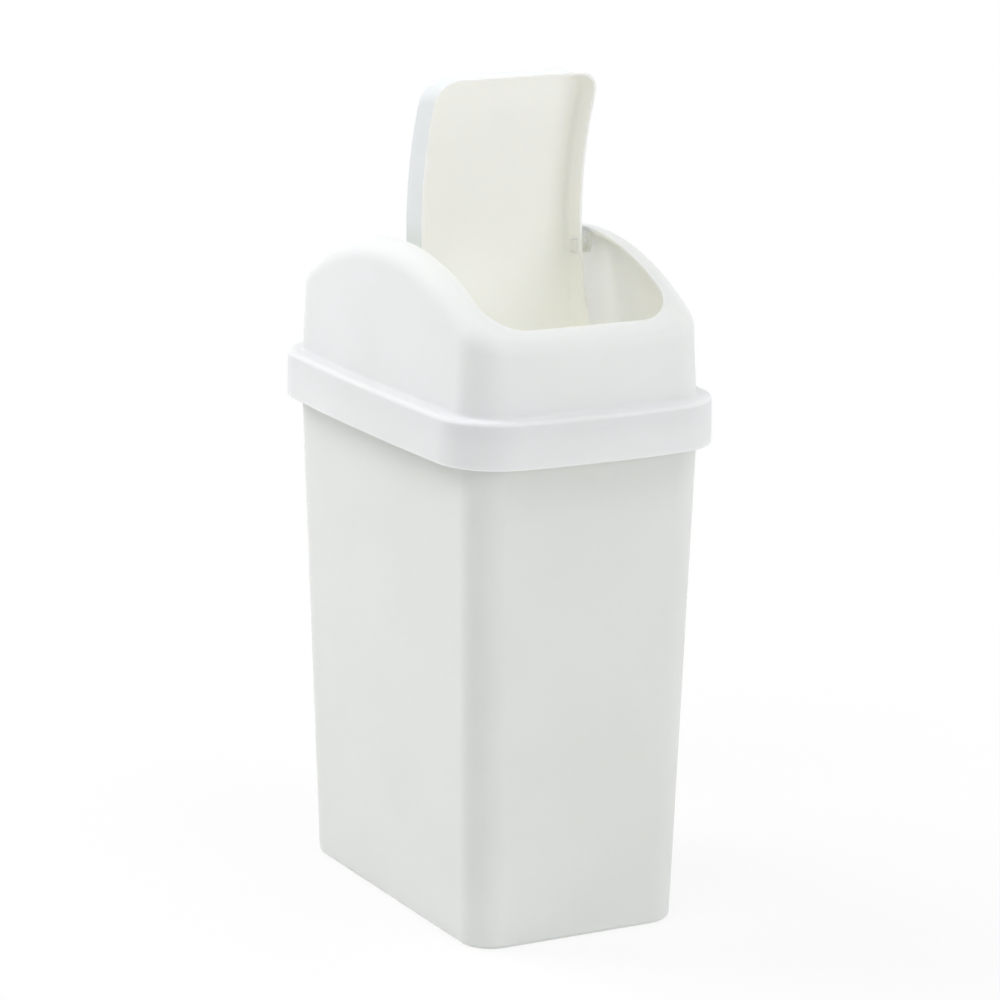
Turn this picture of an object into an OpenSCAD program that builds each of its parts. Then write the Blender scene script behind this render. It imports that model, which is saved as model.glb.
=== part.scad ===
// Countertop trash can with a swing lid, moulded in three pieces.
// The origin is on the floor, under the middle of the bucket. The front faces -Y, the left side -X.

/* [Bucket] */
// Width of the bucket at its foot, left to right
foot_w = 118; // [105:0.5:125]
// Depth of the bucket at its foot, front to back
foot_d = 192.5; // [170:0.5:205]
// Width of the bucket's body at its rim
mouth_w = 131.5; // [126:0.5:145]
// Depth of the bucket's body at its rim
mouth_d = 209.3; // [198:0.5:225]
// Height of the bucket, floor to rim
bucket_h = 270.6; // [200:0.5:330]
// Radius of the bucket's upright corners
body_corner_r = 17.5; // [12:0.5:24]
// Radius along the edge of the bucket's foot
foot_edge_r = 3; // [1:0.25:5]
// Radius inside, between the walls and the floor
floor_edge_r = 5; // [2:0.5:8]
// Thickness of the bucket's walls
bucket_wall = 2; // [1.4:0.1:3]
// Thickness of the bucket's floor
floor_t = 2.4; // [1.6:0.1:4]
// Distance from the bucket's side to the inner edge of the ring that it stands on
foot_ring_w = 8; // [6:0.5:14]
// How far the floor stands clear inside that ring
foot_recess = 1.2; // [0.5:0.1:1.6]

/* [Bucket rim] */
// How far the rim stands out from the body
rim_reach = 6.5; // [5:0.25:9]
// Radius of the rim's corners
rim_corner_r = 31; // [26:0.5:36]
// Thickness of the rim and of its lip
rim_t = 2; // [1.4:0.1:3]
// Height of the lip that turns down from the rim
rim_lip_h = 8; // [5:0.5:12]
// Radius along the rim's upper edges
rim_edge_r = 0.8; // [0.3:0.1:1]
// Thickness of the gussets under the rim
gusset_t = 1.6; // [1:0.1:2.5]
// How far the gussets reach down the body below the lip
gusset_drop = 4; // [1:0.5:8]
// Gussets along each long side
long_gussets = 4; // [2:1:6]
// Gussets along each short side
short_gussets = 2; // [2:1:4]

/* [Lid skirt] */
// Clearance between the bucket's rim and the lid's skirt
skirt_gap = 0.75; // [0.5:0.05:1.5]
// Thickness of the lid's wall
lid_wall = 2; // [1.4:0.1:2.8]
// Height of the skirt, from its lower edge to the ledge
skirt_h = 23.7; // [16:0.1:32]
// How far the skirt leans in over its height
skirt_lean = 0.3; // [0:0.05:0.4]
// How far each side of the skirt and of the rim bows out at its middle
skirt_bow = 1.6; // [0:0.1:3]
// Radius along the skirt's lower edge
skirt_edge_r = 0.6; // [0.2:0.1:1]
// Radius between the skirt and the ledge
ledge_edge_r = 2.3; // [1:0.1:4]

/* [Lid hood] */
// Width of the ledge at the left and the right of the hood
ledge_side = 8.6; // [6:0.1:12]
// Width of the ledge at the front and the back of the hood
ledge_end = 10; // [7:0.1:14]
// Radius between the ledge and the hood
hood_foot_r = 1.5; // [0.5:0.1:3]
// Radius of the hood's upright corners, at the ledge
hood_corner_r = 21.7; // [18:0.1:28]
// How far each side of the hood bows out at its middle
hood_bow = 1.5; // [0:0.1:3]
// Height of the hood, from the ledge to the top of its arch
hood_rise = 70.5; // [60:0.5:90]
// Radius of the arch, seen from the side
arch_r = 165; // [150:1:220]
// Lean of the hood's walls, in degrees
hood_draft = 2.8; // [1:0.1:4]
// Radius between the hood's walls and its arch
cheek_r = 10.8; // [8:0.1:12]

/* [Opening] */
// Flat left between the cheek's radius and the opening, at the sides
lip_side = 1.8; // [1:0.1:4]
// Flat left between that radius and the opening, at the front and the back
lip_end = 3.4; // [1:0.1:5]
// Radius of the opening's corners, seen from above
opening_corner_r = 19.5; // [14:0.5:24]
// Radius along the opening's edge
opening_edge_r = 0.5; // [0.2:0.1:0.8]

/* [Flap] */
// Gap between the flap and the opening, at each side
flap_gap_side = 4; // [3:0.1:6]
// Gap between the flap and the opening, at each end
flap_gap_end = 3.7; // [3.2:0.1:6]
// Radius of the flap's corners, seen from above
flap_corner_r = 13.6; // [10:0.1:18]
// Radius along the flap's outer edge
flap_edge_r = 3; // [2.2:0.1:4]
// Depth of the flap's side walls
flap_depth = 17.5; // [15:0.1:18]
// Thickness of the flap's panel and walls
flap_wall = 1.7; // [1.2:0.1:2]
// Radius of the free edge of the flap's walls
flap_lip_r = 0.5; // [0.2:0.1:0.6]
// Lean of the flap's side walls, in degrees
flap_draft = 4.5; // [3:0.1:6]
// Angle that the flap is swung open by, front end up
flap_swing = 95.6; // [0:0.1:96]

/* [Pivot] */
// How far the pivot lies under the top of the arch
pivot_drop = 9.6; // [9:0.1:11]
// Radius of the flap's pins
pin_r = 2.25; // [1.5:0.05:2.4]
// Running clearance between pin and bearing, on the radius
pin_gap = 0.08; // [0.04:0.01:0.1]
// Clearance between the flap's side and the face of the bearing
side_gap = 0.5; // [0.4:0.05:0.8]
// Radius of the bearing
bearing_r = 4.6; // [4:0.1:5.5]
// Thickness of the ear that hangs from the cheek and holds the bearing
ear_t = 2.2; // [1.5:0.1:3]
// Width that the ear leaves round the bearing
ear_border = 1.4; // [0.8:0.1:2.5]
// How far the pin's tip stands out behind the ear
pin_tip = 0.8; // [0.4:0.1:1.2]
// Width of the slot round the springy tongue that carries the pin
slot_w = 1; // [0.7:0.1:1.3]
// Half the width of the tongue
tongue_half = 2.9; // [2.6:0.1:3.4]
// How far the tongue reaches below the pin's axis
tongue_below = 4.3; // [3.6:0.1:4.6]
// How far the slots run up past the pin's axis
tongue_above = 3.4; // [2:0.1:3.8]

/* [Hidden] */
$fn = 64;
bucket_colour = "#f2f1ec";
lid_colour = "#f1f2f3";
flap_colour = "#f1f1ec";

// Heights
ledge_z = bucket_h + lid_wall;
skirt_z = ledge_z - skirt_h;
arch_top = ledge_z + hood_rise;
arch_z = arch_top - arch_r;
pivot_z = arch_top - pivot_drop;
floor_z = foot_recess + floor_t;
rim_under = bucket_h - rim_t;
lip_z = bucket_h - rim_lip_h;

// A form is a rounded rectangle seen from above: half its width, half its depth, the radius of its
// corners, the bow of its sides, and what half its width and half its depth gain per mm of height.
body_form = [foot_w / 2, foot_d / 2, body_corner_r, 0,
             (mouth_w - foot_w) / 2 / bucket_h, (mouth_d - foot_d) / 2 / bucket_h];
rim_form = [mouth_w / 2 + rim_reach, mouth_d / 2 + rim_reach, rim_corner_r, skirt_bow, 0, 0];
skirt_form = grow(rim_form, skirt_gap + lid_wall);
hood_form = [skirt_form[0] - ledge_side, skirt_form[1] - ledge_end, hood_corner_r, hood_bow, 0, 0];

// An edge is a radius that rolls between a wall and the arch: its radius, the height at which the
// wall has its form's full size (the arch's own height if undef), and the slope of the wall's lean.
hood_edge = [cheek_r, ledge_z, tan(hood_draft)];
flap_edge = [flap_edge_r, undef, -tan(flap_draft)];

// The opening keeps inside the radius that runs round the top of the hood
opening_form = [edge_centre([1, 0, 0, 0], hood_form, hood_edge)[0] - lip_side,
                edge_point([0, 1, 90, 0], hood_form, hood_edge, cheek_r, 1)[1] - lip_end,
                opening_corner_r, 0, 0, 0];
flap_form = [opening_form[0] - flap_gap_side, opening_form[1] - flap_gap_end, flap_corner_r, 0, 0, 0];

// Places along X: the bearing's face, the ear, the middle of the flap's wall and the pin's tip
bearing_x = flap_form[0] + side_gap;
ear_x = opening_form[0];
wall_x = flap_form[0] - tan(flap_draft) * pivot_drop - flap_wall / 2;
pin_end_x = ear_x + ear_t + pin_tip;
ear_half = bearing_r + ear_border;
pin_chamfer = pin_r / 4;
// Each cut runs past the faces that it opens by this much
cut_over = 1;

// Steps round an upright corner, a small edge, the cheek, and the folds inside the hood and the flap
corner_steps = 8;
edge_steps = 3;
cheek_steps = 7;
fold_steps = 3;

// The signs of X and Y at the four corners, anticlockwise from the front right
corner_x = [1, 1, -1, -1];
corner_y = [-1, 1, 1, -1];
bucket_stations = stations(long_n = 8, short_n = 6);
lid_stations = stations(long_n = 18, short_n = 8);
flap_stations = stations(long_n = 20, short_n = 1);

// Stations run round a form, anticlockwise from its front right corner. Each holds its place along X
// and along Y from -1 to 1, the direction that it faces, and its share of the side's bow.
function corner_stations(k) = [
    for (i = [0 : corner_steps]) [corner_x[k], corner_y[k], 90 * (k - 1 + i / corner_steps), 0]
];
function side_stations(k, n) = [
    for (i = [1 : 1 : n - 1])
        let (t = i / n, m = (k + 1) % 4)
        [corner_x[k] * (1 - t) + corner_x[m] * t, corner_y[k] * (1 - t) + corner_y[m] * t,
         90 * k, 4 * t * (1 - t)]
];
function stations(long_n, short_n) = [
    for (k = [0 : 3]) each concat(corner_stations(k), side_stations(k, k % 2 == 0 ? long_n : short_n))
];

// A form made larger all round, with its corners kept concentric
function grow(form, e) = [form[0] + e, form[1] + e, form[2] + e, form[3], form[4], form[5]];

// The point of a form at station s, moved in by inset, at height z
function at(s, form, inset, z) =
    let (r = form[2] - inset + s[3] * form[3])
    [s[0] * (form[0] + form[4] * z - form[2]) + r * cos(s[2]),
     s[1] * (form[1] + form[5] * z - form[2]) + r * sin(s[2]), z];
function ring(list, form, inset, z) = [for (s = list) at(s, form, inset, z)];

// Rings that turn through an arc in the wall's section. The arc's centre lies inset in and z up, and
// its angle counts from straight out, up.
function turn(list, form, inset, z, r, from, to) = [
    for (i = [0 : edge_steps])
        let (g = from + (to - from) * i / edge_steps)
        ring(list, form, inset - r * cos(g), z + r * sin(g))
];

// Height of a cylinder of radius r about the arch's own axis, and a form laid on it
function arch_at(y, r) = arch_z + sqrt(r * r - y * y);
function arch_ring(list, form, inset, r, drop = 0) = [
    for (s = list) let (p = at(s, form, inset, 0)) [p[0], p[1], arch_at(p[1], r) - drop]
];

// A ball that touches the wall and the arch from inside rolls round the top of a form. The height of
// its centre and its distance from the wall depend on each other, and settle in a few rounds.
function edge_centre(s, form, edge, z = undef, rounds = 4) =
    let (r = edge[0], lean = edge[2],
         foot = is_undef(edge[1]) ? arch_at(at(s, form, 0, 0)[1], arch_r) : edge[1],
         now = is_undef(z) ? foot - r : z,
         p = at(s, form, (now - foot) * lean + r * sqrt(1 + lean * lean), 0),
         up = arch_at(p[1], arch_r - r))
    rounds == 0 ? [p[0], p[1], up] : edge_centre(s, form, edge, up, rounds - 1);

// The point at share q of the way from the wall to the arch, at a distance r from the ball's centre
function edge_point(s, form, edge, r, q) =
    let (c = edge_centre(s, form, edge),
         k = 1 / sqrt(1 + edge[2] * edge[2]),
         out = [cos(s[2]) * k, sin(s[2]) * k, edge[2] * k],
         up = [0, c[1], c[2] - arch_z] / (arch_r - edge[0]),
         g = acos(out * up))
    c + r * (sin((1 - q) * g) * out + sin(q * g) * up) / sin(g);
function edge_rings(list, form, edge, r, steps, inward = false) = [
    for (i = [0 : steps])
        let (q = inward ? 1 - i / steps : i / steps)
        [for (s = list) edge_point(s, form, edge, r, q)]
];

// Faces between neighbouring rings of n points, and from the last ring to the first if closed
function skin(n, count, closed) = [
    for (j = [0 : count - (closed ? 1 : 2)], i = [0 : n - 1])
        let (a = j * n + i, b = j * n + (i + 1) % n, next = ((j + 1) % count) * n,
             c = next + (i + 1) % n, d = next + i)
        each [[a, c, b], [a, d, c]]
];
// A flat cap of faces round a middle point
function fan_cap(n, first, middle, up) = [
    for (i = [0 : n - 1])
        let (a = first + i, b = first + (i + 1) % n)
        up ? [b, a, middle] : [a, b, middle]
];
// A cap whose faces run straight across, from each point to its mirror image
function arched_cap(n, first, up) = [
    for (i = [0 : n / 2 - 2])
        let (a = first + i, b = a + 1, c = first + n - 2 - i, d = c + 1)
        each up ? [[a, d, c], [a, c, b]] : [[a, b, c], [a, c, d]]
];

module loft(rings, caps = [], closed = false, middles = []) {
    polyhedron(concat([for (r = rings) each r], middles),
               concat(skin(len(rings[0]), len(rings), closed), caps));
}

module both_sides() {
    children();
    mirror([1, 0, 0]) children();
}

// A cylinder along X between two places
module rod(r, x0, x1) {
    translate([x0, 0, pivot_z]) rotate([0, 90, 0]) cylinder(r = r, h = x1 - x0);
}

// One gusset, from the body's wall out along X to the lip
module gusset(wall, lip) {
    rotate([90, 0, 0]) linear_extrude(gusset_t, center = true) polygon([
        [wall - bucket_wall / 2, lip_z - gusset_drop], [lip + rim_t / 2, lip_z + rim_t],
        [lip + rim_t / 2, rim_under + rim_t / 2], [wall - bucket_wall / 2, rim_under + rim_t / 2]
    ]);
}

// A row of n gussets between the corners of a side, whose half length is given
module gusset_row(n, half, wall, lip) {
    for (i = [0 : n - 1]) {
        u = (2 * i + 1) / n - 1;
        bow = skirt_bow * (1 - u * u);
        translate([0, u * (half - rim_corner_r), 0]) gusset(wall, lip + bow);
    }
}

module bucket() {
    list = bucket_stations;
    n = len(list);
    rings = concat(
        [ring(list, body_form, foot_ring_w, foot_recess), ring(list, body_form, foot_ring_w, 0)],
        turn(list, body_form, foot_edge_r, foot_edge_r, foot_edge_r, -90, 0),
        [ring(list, body_form, 0, rim_under), ring(list, rim_form, rim_t, rim_under),
         ring(list, rim_form, rim_t, lip_z), ring(list, rim_form, 0, lip_z)],
        turn(list, rim_form, rim_edge_r, bucket_h - rim_edge_r, rim_edge_r, 0, 90),
        turn(list, body_form, bucket_wall - rim_edge_r, bucket_h - rim_edge_r, rim_edge_r, 90, 180),
        turn(list, body_form, bucket_wall + floor_edge_r, floor_z + floor_edge_r, floor_edge_r, 0, -90)
    );
    end = n * len(rings);
    caps = concat(fan_cap(n, 0, end, false), fan_cap(n, end - n, end + 1, true));
    color(bucket_colour) {
        loft(rings, caps, middles = [[0, 0, foot_recess], [0, 0, floor_z]]);
        both_sides()
            gusset_row(long_gussets, rim_form[1], mouth_w / 2, rim_form[0] - rim_t);
        for (a = [90, 270])
            rotate([0, 0, a])
                gusset_row(short_gussets, rim_form[0], mouth_d / 2, rim_form[1] - rim_t);
    }
}

// The edge of the opening: over its upper corner, down its face and round its lower corner
function opening_rings(list) = let (e = opening_edge_r, low = arch_r - lid_wall) concat(
    [for (i = [0 : edge_steps])
        let (g = 90 * i / edge_steps)
        arch_ring(list, opening_form, e * sin(g) - e, arch_r - e + e * cos(g))],
    [for (i = [0 : edge_steps])
        let (g = 90 * i / edge_steps)
        arch_ring(list, opening_form, e * cos(g) - e, low + e - e * sin(g))]
);

module hood_shell() {
    list = lid_stations;
    loft(concat(
        [ring(list, skirt_form, lid_wall, skirt_z)],
        turn(list, skirt_form, skirt_edge_r, skirt_z + skirt_edge_r, skirt_edge_r, -90, 0),
        turn(list, skirt_form, skirt_lean + ledge_edge_r, ledge_z - ledge_edge_r, ledge_edge_r, 0, 90),
        turn(list, hood_form, -hood_foot_r, ledge_z + hood_foot_r, hood_foot_r, -90, -180),
        edge_rings(list, hood_form, hood_edge, cheek_r, cheek_steps),
        opening_rings(list),
        edge_rings(list, hood_form, hood_edge, cheek_r - lid_wall, fold_steps, true),
        [ring(list, hood_form, lid_wall, bucket_h), ring(list, skirt_form, lid_wall + skirt_lean, bucket_h)]
    ), closed = true);
}

// The ear under the cheek, with the bearing that stands out from it towards the flap
module pivot_ear() {
    top = arch_top - lid_wall / 2;
    rod(ear_half, ear_x, ear_x + ear_t);
    translate([ear_x, -ear_half, pivot_z]) cube([ear_t, 2 * ear_half, top - pivot_z]);
    rod(bearing_r, bearing_x, ear_x + ear_t);
}

module lid_hood() {
    color(lid_colour) difference() {
        union() {
            hood_shell();
            both_sides() pivot_ear();
        }
        both_sides() rod(pin_r + pin_gap, bearing_x - cut_over, ear_x + ear_t + cut_over);
    }
}

// The flap closed: an arched tray with walls all round, its outer face flush with the hood's arch
module flap_shell() {
    list = flap_stations;
    n = len(list);
    foot = flap_depth * tan(flap_draft);
    rings = concat(
        edge_rings(list, flap_form, flap_edge, flap_edge_r - flap_wall, fold_steps, true),
        [arch_ring(list, flap_form, foot + flap_wall, arch_r, flap_depth - flap_lip_r),
         arch_ring(list, flap_form, foot + flap_wall - flap_lip_r, arch_r, flap_depth),
         arch_ring(list, flap_form, foot + flap_lip_r, arch_r, flap_depth),
         arch_ring(list, flap_form, foot, arch_r, flap_depth - flap_lip_r)],
        edge_rings(list, flap_form, flap_edge, flap_edge_r, fold_steps + 1)
    );
    loft(rings, concat(arched_cap(n, 0, false), arched_cap(n, n * (len(rings) - 1), true)));
}

// The slot that frees the tongue, seen from the flap's side: U-shaped, with round ends
module tongue_slot() {
    wide = tongue_half + slot_w;
    difference() {
        union() {
            translate([-wide, -tongue_below - slot_w]) square([2 * wide, tongue_below + slot_w + tongue_above]);
            for (s = [-1, 1])
                translate([s * (tongue_half + slot_w / 2), tongue_above]) circle(d = slot_w);
        }
        translate([-tongue_half, -tongue_below]) square([2 * tongue_half, tongue_below + 2 * tongue_above]);
    }
}

// The pin, with a chamfer on its tip that lets it snap into the bearing
module flap_pin() {
    translate([0, 0, pivot_z]) rotate([0, 90, 0]) rotate_extrude() polygon([
        [0, wall_x], [pin_r, wall_x], [pin_r, pin_end_x - pin_chamfer],
        [pin_r - pin_chamfer, pin_end_x], [0, pin_end_x]
    ]);
}

module swing_flap() {
    color(flap_colour)
        translate([0, 0, pivot_z]) rotate([-flap_swing, 0, 0]) translate([0, 0, -pivot_z])
            union() {
                difference() {
                    flap_shell();
                    both_sides() translate([wall_x, 0, pivot_z])
                        rotate([90, 0, 90]) linear_extrude(flap_wall + 2 * cut_over, center = true) tongue_slot();
                }
                both_sides() flap_pin();
            }
}

bucket();
lid_hood();
swing_flap();
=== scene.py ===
"""A countertop trash can with a swing lid: its three mouldings, their finishes, and a white studio.

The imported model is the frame. Each moulding is built again here from the same sizes, with finer
rounds and smooth faces, and stands for its node. Only the bearings are slimmer and the fillet inside
the flap wider than in the source, as the photograph shows them. Sizes are millimetres up to the
point where a mesh is made, and metres in Blender. The front faces -Y and the left side -X.
"""
import logging
import math
from dataclasses import astuple, dataclass, field, replace
from enum import Enum
from functools import partial
from typing import Callable, Optional, Sequence

import bpy
import numpy as np
from bpy.types import Material, NodeSocket, NodeTree, Object, World
from mathutils import Matrix, Vector


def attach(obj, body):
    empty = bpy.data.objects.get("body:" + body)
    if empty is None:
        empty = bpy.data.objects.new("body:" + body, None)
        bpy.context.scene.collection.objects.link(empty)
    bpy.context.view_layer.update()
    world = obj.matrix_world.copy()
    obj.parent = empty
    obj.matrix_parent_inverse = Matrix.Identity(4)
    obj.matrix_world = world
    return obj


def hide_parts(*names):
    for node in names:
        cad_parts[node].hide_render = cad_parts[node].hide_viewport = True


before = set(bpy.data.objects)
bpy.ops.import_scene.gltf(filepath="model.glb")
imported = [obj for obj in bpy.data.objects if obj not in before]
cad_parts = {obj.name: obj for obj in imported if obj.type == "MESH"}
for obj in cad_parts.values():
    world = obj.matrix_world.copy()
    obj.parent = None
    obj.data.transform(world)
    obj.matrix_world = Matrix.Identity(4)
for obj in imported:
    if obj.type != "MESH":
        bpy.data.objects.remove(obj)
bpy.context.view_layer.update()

MM = 0.001
CORE_SIDE = "core_side"
WHITE = "#ffffff"
SIDES = {1: "right", -1: "left"}
# How far a cutting solid reaches past what it cuts, in millimetres
CUT_PAST = 1.0
LOG = logging.getLogger("trash_can")

Points = Sequence[tuple[float, float]]
Rings = list[np.ndarray]


class Body(Enum):
    """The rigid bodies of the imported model, which pieces ride on."""

    BUCKET = "bucket"
    LID = "lid"
    FLAP = "flap"


class Cap(Enum):
    """How the end ring of a loft is closed."""

    OPEN = "open"
    FLAT = "flat"
    ARCHED = "arched"


# Forms and the rings that are laid on them


@dataclass(frozen=True)
class Stations:
    """Places round a form, anticlockwise from its front right corner.

    Attributes:
        side_x: Place across the form, from -1 at the left to 1 at the right.
        side_y: Place along the form, from -1 at the front to 1 at the back.
        facing: Direction that the wall faces, in radians from +X.
        bow_share: Share of the side's bow, 0 at its corners and 1 at its middle.
    """

    side_x: np.ndarray
    side_y: np.ndarray
    facing: np.ndarray
    bow_share: np.ndarray

    @classmethod
    def spaced(cls, corner_steps: int, long_steps: int, short_steps: int) -> "Stations":
        """Spaces stations round a form.

        Args:
            corner_steps: Steps round each corner.
            long_steps: Steps along the left and the right side.
            short_steps: Steps along the front and the back.

        Returns:
            The stations, one row of values for each place.
        """
        corners = [(1, -1), (1, 1), (-1, 1), (-1, -1)]
        rows = []
        for k, (x, y) in enumerate(corners):
            for i in range(corner_steps + 1):
                rows.append((x, y, math.radians(90 * (k - 1 + i / corner_steps)), 0.0))
            next_x, next_y = corners[(k + 1) % 4]
            steps = short_steps if k % 2 else long_steps
            for i in range(1, steps):
                t = i / steps
                place = (x + (next_x - x) * t, y + (next_y - y) * t)
                rows.append((*place, math.radians(90 * k), 4 * t * (1 - t)))
        return cls(*np.array(rows).T)

    @property
    def count(self) -> int:
        """Number of stations."""
        return len(self.facing)


def arc(
    centre: tuple[float, float], radius: float, start: float, end: float, steps: int, half_width: float = 0.0
) -> Points:
    """Lays points on an arc in a section.

    Args:
        centre: Its centre's place across the section, counted inwards, and height.
        radius: Its radius.
        start: Angle of its first point, in degrees from straight out, up.
        end: Angle of its last point.
        steps: Steps between them.
        half_width: Half its width, where that isn't its radius.

    Returns:
        Place across the section and height of each point.
    """
    wide = half_width or radius
    angles = np.radians(np.linspace(start, end, steps + 1))
    return [(centre[0] - wide * math.cos(a), centre[1] + radius * math.sin(a)) for a in angles]


@dataclass(frozen=True)
class Form:
    """A rounded rectangle seen from above.

    Attributes:
        half_width: Half its width at height 0.
        half_depth: Half its depth at height 0.
        corner: Radius of its corners.
        bow: How far each side bows out at its middle.
        flare_x: What half the width gains per millimetre of height.
        flare_y: What half the depth gains per millimetre of height.
    """

    half_width: float
    half_depth: float
    corner: float
    bow: float = 0.0
    flare_x: float = 0.0
    flare_y: float = 0.0

    def grown(self, by: float) -> "Form":
        """The form made larger all round, with its corners kept concentric."""
        sizes = {name: getattr(self, name) + by for name in ("half_width", "half_depth", "corner")}
        return replace(self, **sizes)

    def ring(self, at: Stations, inset: float | np.ndarray, height: float | np.ndarray) -> np.ndarray:
        """Lays a ring on the form.

        Args:
            at: The stations of the ring.
            inset: How far the ring lies inside the form.
            height: Its height above the floor.

        Returns:
            One point for each station.
        """
        reach = self.corner - inset + at.bow_share * self.bow
        x = at.side_x * (self.half_width + self.flare_x * height - self.corner) + reach * np.cos(at.facing)
        y = at.side_y * (self.half_depth + self.flare_y * height - self.corner) + reach * np.sin(at.facing)
        return np.column_stack([x, y, np.broadcast_to(height, x.shape)])

    def rings(self, at: Stations, section: Points) -> Rings:
        """Lays a ring at each inset and height of a wall's section."""
        return [self.ring(at, inset, height) for inset, height in section]


@dataclass(frozen=True)
class Arch:
    """The cylinder, along X, that the top of the hood and the flap follow.

    Attributes:
        radius: Radius of its outer face.
        centre_z: Height of its axis.
    """

    radius: float
    centre_z: float

    def height(self, y: np.ndarray, radius: float | np.ndarray) -> np.ndarray:
        """Height of a cylinder of another radius about the same axis."""
        return self.centre_z + np.sqrt(radius**2 - y**2)

    def ring(self, at: Stations, form: Form, inset: float, radius: float, drop: float = 0.0) -> np.ndarray:
        """Lays a form's ring on a cylinder about the arch's axis, let down by drop."""
        points = form.ring(at, inset, 0.0)
        points[:, 2] = self.height(points[:, 1], radius) - drop
        return points


@dataclass(frozen=True)
class ArchEdge:
    """The radius that rolls between a leaning wall and the arch.

    Attributes:
        arch: The arch that it runs into.
        radius: Its radius.
        lean: How far the wall leans in per millimetre of height.
        foot: Height at which the wall has its form's full size, or None for the arch's own height.
    """

    SETTLING_ROUNDS = 8

    arch: Arch
    radius: float
    lean: float
    foot: Optional[float] = None

    def centres(self, at: Stations, form: Form) -> np.ndarray:
        """Centres of the ball that touches the wall and the arch from inside.

        Its height and its distance from the wall depend on each other, and settle in a few rounds.

        Args:
            at: The stations.
            form: The wall's form.

        Returns:
            One centre for each station.
        """
        points = form.ring(at, 0.0, 0.0)
        if self.foot is None:
            foot = self.arch.height(points[:, 1], self.arch.radius)
        else:
            foot = np.full(at.count, self.foot)
        height = foot - self.radius
        for _ in range(self.SETTLING_ROUNDS):
            inset = (height - foot) * self.lean + self.radius * math.hypot(1, self.lean)
            points = form.ring(at, inset, 0.0)
            height = self.arch.height(points[:, 1], self.arch.radius - self.radius)
        points[:, 2] = height
        return points

    def rings(self, at: Stations, form: Form, radius: float, steps: int) -> Rings:
        """Lays rings on the rolled radius, from the wall to the arch.

        Args:
            at: The stations of the rings.
            form: The wall's form.
            radius: Distance of the rings from the ball's centre: its own radius, or less by a wall.
            steps: Steps from the wall to the arch.

        Returns:
            The rings, in order.
        """
        centre = self.centres(at, form)
        lean_in = np.full(at.count, self.lean)
        out = np.column_stack([np.cos(at.facing), np.sin(at.facing), lean_in]) / math.hypot(1, self.lean)
        up = np.column_stack([np.zeros(at.count), centre[:, 1], centre[:, 2] - self.arch.centre_z])
        up /= self.arch.radius - self.radius
        angle = np.arccos(np.sum(out * up, axis=1))[:, None]
        rings = []
        for q in np.linspace(0, 1, steps + 1):
            blend = np.sin((1 - q) * angle) * out + np.sin(q * angle) * up
            rings.append(centre + radius * blend / np.sin(angle))
        return rings


# Meshes


def loft_faces(count: int, rings: int, closed: bool) -> list[tuple[int, ...]]:
    """Faces between neighbouring rings.

    Args:
        count: Points in each ring.
        rings: Number of rings.
        closed: Joins the last ring to the first.

    Returns:
        Quads, as tuples of point numbers.
    """
    faces = []
    for j in range(rings if closed else rings - 1):
        low = j * count
        high = ((j + 1) % rings) * count
        for i in range(count):
            k = (i + 1) % count
            faces.append((low + i, low + k, high + k, high + i))
    return faces


def cap_faces(kind: Cap, loop: Sequence[int]) -> list[tuple[int, ...]]:
    """Faces that close a ring.

    Args:
        kind: A flat cap is one face, and an arched one has a face from each point to its mirror image.
        loop: Numbers of the ring's points, anticlockwise seen from outside.

    Returns:
        The faces, none if the cap is open.
    """
    if kind is Cap.OPEN:
        return []
    if kind is Cap.FLAT:
        return [tuple(loop)]
    n = len(loop)
    return [(loop[i], loop[i + 1], loop[n - 2 - i], loop[n - 1 - i]) for i in range(n // 2 - 1)]


def make_mesh(name: str, points: np.ndarray, faces: Sequence[Sequence[int]]) -> Object:
    """Makes an object from points in millimetres.

    Args:
        name: Name of the object and of its mesh.
        points: One point in each row.
        faces: Point numbers of each face, anticlockwise seen from outside.

    Returns:
        The object, linked to the scene, at the origin.
    """
    mesh = bpy.data.meshes.new(name)
    mesh.from_pydata((np.asarray(points) * MM).tolist(), [], [tuple(f) for f in faces])
    mesh.validate()
    made = bpy.data.objects.new(name, mesh)
    bpy.context.scene.collection.objects.link(made)
    return made


def loft(name: str, rings: Rings, closed: bool = False, start: Cap = Cap.OPEN, end: Cap = Cap.OPEN) -> Object:
    """Makes a mesh over rings of equal numbers of points.

    Args:
        name: Name of the object.
        rings: The rings, in order.
        closed: Joins the last ring to the first.
        start: How the first ring is closed.
        end: How the last ring is closed.

    Returns:
        The object.
    """
    count = len(rings[0])
    faces = loft_faces(count, len(rings), closed)
    faces += cap_faces(start, range(count)[::-1])
    faces += cap_faces(end, range(count * (len(rings) - 1), count * len(rings)))
    return make_mesh(name, np.concatenate(rings), faces)


def settle(piece: Object) -> None:
    """Turns a piece's modifiers into plain mesh.

    Args:
        piece: The piece to change.
    """
    bpy.context.view_layer.update()
    graph = bpy.context.evaluated_depsgraph_get()
    mesh = bpy.data.meshes.new_from_object(piece.evaluated_get(graph), depsgraph=graph)
    piece.modifiers.clear()
    old = piece.data
    piece.data = mesh
    mesh.name = piece.name
    bpy.data.meshes.remove(old)


def combine(piece: Object, other: Object, how: str) -> None:
    """Joins another closed mesh to a piece, or cuts it out, and removes the other.

    Args:
        piece: The piece to change.
        other: The mesh to join or cut out.
        how: "UNION" or "DIFFERENCE".
    """
    boolean = piece.modifiers.new(how.capitalize(), "BOOLEAN")
    boolean.operation = how
    boolean.solver = "EXACT"
    boolean.object = other
    settle(piece)
    bpy.data.objects.remove(other)


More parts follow.
